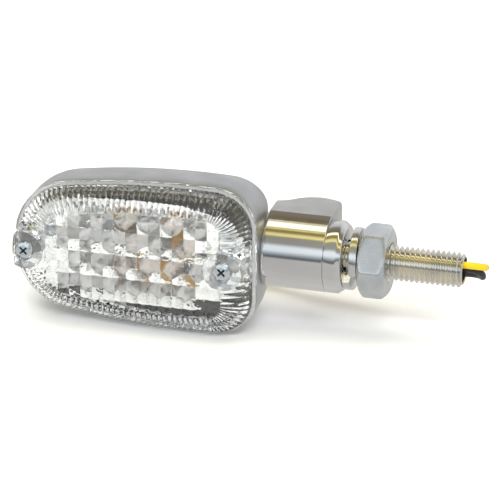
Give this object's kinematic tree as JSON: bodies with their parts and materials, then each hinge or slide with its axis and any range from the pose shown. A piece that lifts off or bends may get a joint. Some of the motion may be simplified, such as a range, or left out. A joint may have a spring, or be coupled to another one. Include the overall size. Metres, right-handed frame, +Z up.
{
  "type": "motorcycle turn signal indicator",
  "caption": "Oblong clear-lens turn signal head that swivels on a short metal arm with a hollow threaded stud, washers, hexagonal nut and two leads.",
  "frame": {"origin": "on the stud's axis, in the plane of the arm's end face where the bracket is clamped", "axes": "+X along the stud towards its free end, -Y the way the lens faces, +Z up"},
  "size_m": [0.1361, 0.0626, 0.0452],
  "materials": {
    "housing": "satin die-cast",
    "arm": "polished",
    "steel": "zinc plated",
    "dark_steel": "black oxide",
    "lens": "clear moulded polycarbonate",
    "rubber": "matt",
    "reflector": "silvered",
    "board": "solder mask",
    "led": "clear epoxy",
    "resistor": "lacquer",
    "diode": "epoxy",
    "yellow_wire": "soft PVC",
    "black_wire": "soft PVC",
    "silicone": "pale silicone",
    "tie": "matt",
    "brass": "bright",
    "clear_sleeve": "translucent PVC"
  },
  "bodies": {
    "stem": {"wave_washer": "steel", "retaining_ring": "dark_steel", "swivel_o_ring": "rubber", "arm": "arm", "grub_screw": "dark_steel", "hollow_stud": "steel", "lead_sleeve": "rubber", "yellow_wire_in_stud": "yellow_wire", "black_wire_in_stud": "black_wire", "yellow_lead": "yellow_wire", "black_lead": "black_wire", "yellow_hank": "yellow_wire", "black_hank": "black_wire", "hank_tie": "tie", "yellow_bullet": "brass", "black_bullet": "brass", "yellow_bullet_sleeve": "clear_sleeve", "black_bullet_sleeve": "clear_sleeve"},
    "head": {"housing": "housing", "lens": "lens", "lens_gasket": "silicone", "lens_screw_outer": "steel", "lens_screw_inner": "steel", "reflector": "reflector", "circuit_board": "board", "leds": "led", "resistors": "resistor", "diode": "diode", "board_screws": "steel", "yellow_board_wire": "yellow_wire", "black_board_wire": "black_wire"},
    "collar": {"collar": "arm"},
    "lock_washer": {"lock_washer": "steel"},
    "nut": {"hex_nut": "steel"}
  },
  "joints": [
    {"name": "head_swivel", "type": "hinge", "parent": "stem", "child": "head", "pos_m": [0, 0, 0], "axis": [1, 0, 0], "range_deg": [-90, 90]},
    {"name": "collar_slide", "type": "slide", "parent": "stem", "child": "collar", "axis": [1, 0, 0], "range_m": [0, 0.0106]},
    {"name": "nut_travel", "type": "slide", "parent": "stem", "child": "lock_washer", "axis": [1, 0, 0], "range_m": [0, 0.0211]},
    {"name": "nut_spin", "type": "hinge", "parent": "lock_washer", "child": "nut", "pos_m": [0, 0, 0], "axis": [1, 0, 0], "range_deg": [0, 5040]}
  ],
  "couplings": [
    {"joint": "nut_travel", "follows": "nut_spin", "m_per_rad": 0.00023873},
    {"joint": "collar_slide", "follows": "nut_spin", "m_per_rad": 0.00011937}
  ]
}
